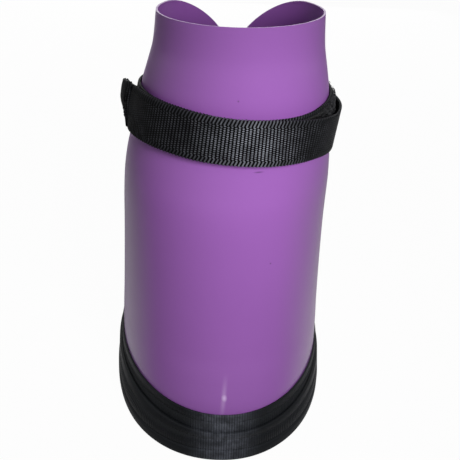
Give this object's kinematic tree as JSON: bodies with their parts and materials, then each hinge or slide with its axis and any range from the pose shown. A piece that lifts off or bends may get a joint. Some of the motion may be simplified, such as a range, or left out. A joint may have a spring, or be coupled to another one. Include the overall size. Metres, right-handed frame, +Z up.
{
  "type": "poultice boot",
  "caption": "Tall moulded PVC hoof boot with a rubber sole and rand strips, a split back and a long webbing strap that winds round the neck and closes with hook and loop tape",
  "frame": {"origin": "middle of the box round the boot, at the ground under the outsole", "axes": "+Z up out of the boot's neck, -Y towards the toe, +X to the boot's own left when it faces -Y, which is the viewer's right in front of it"},
  "size_m": [0.1678, 0.1961, 0.2854],
  "materials": {
    "purple_pvc": "semi-gloss moulded PVC",
    "ribbed_rubber": "satin black rubber, finely ribbed",
    "midsole_foam": "matt dense foam board",
    "insole_foam": "matt foam pad",
    "black_webbing": "woven polypropylene webbing",
    "loop_pile": "brushed loop pile",
    "hook_tape": "nylon hook tape",
    "black_thread": "polyester sewing thread",
    "nickel_rivet": "nickel plated steel"
  },
  "bodies": {
    "boot": {"boot_shell": "purple_pvc", "foam_insole": "insole_foam", "midsole": "midsole_foam", "outsole": "ribbed_rubber", "upper_rand": "ribbed_rubber", "lower_rand": "ribbed_rubber", "strap_inner_turn": "black_webbing", "loop_tape": "loop_pile", "strap_rivet_upper": "nickel_rivet", "strap_rivet_lower": "nickel_rivet", "rivet_washer_upper": "nickel_rivet", "rivet_washer_lower": "nickel_rivet"},
    "strap_right": {"strap_right_side": "black_webbing"},
    "strap_front": {"strap_front": "black_webbing", "hook_tape_front": "hook_tape", "hook_stitching_front": "black_thread"},
    "strap_left": {"strap_left_side": "black_webbing", "hook_tape_left": "hook_tape", "hook_stitching_left": "black_thread"},
    "end_tab": {"strap_end_tab": "black_webbing", "tab_stitching": "black_thread"}
  },
  "joints": [
    {"name": "strap_right_fold", "type": "hinge", "parent": "boot", "child": "strap_right", "pos_m": [0.04731, 0.07795, 0.21048], "axis": [0, 0, 1], "range_deg": [0, 30]},
    {"name": "strap_front_fold", "type": "hinge", "parent": "strap_right", "child": "strap_front", "pos_m": [0.0716, -0.00134, 0.21231], "axis": [0, 0, 1], "range_deg": [0, 45]},
    {"name": "strap_left_fold", "type": "hinge", "parent": "strap_front", "child": "strap_left", "pos_m": [-0.03535, -0.03469, 0.22311], "axis": [0, 0, 1], "range_deg": [0, 60]},
    {"name": "end_tab_fold", "type": "hinge", "parent": "strap_left", "child": "end_tab", "pos_m": [-0.06822, 0.00378, 0.22407], "axis": [0, 0, 1], "range_deg": [0, 60]}
  ],
  "couplings": [
    {"joint": "strap_front_fold", "follows": "strap_right_fold", "ratio": 1.5},
    {"joint": "strap_left_fold", "follows": "strap_right_fold", "ratio": 2}
  ]
}
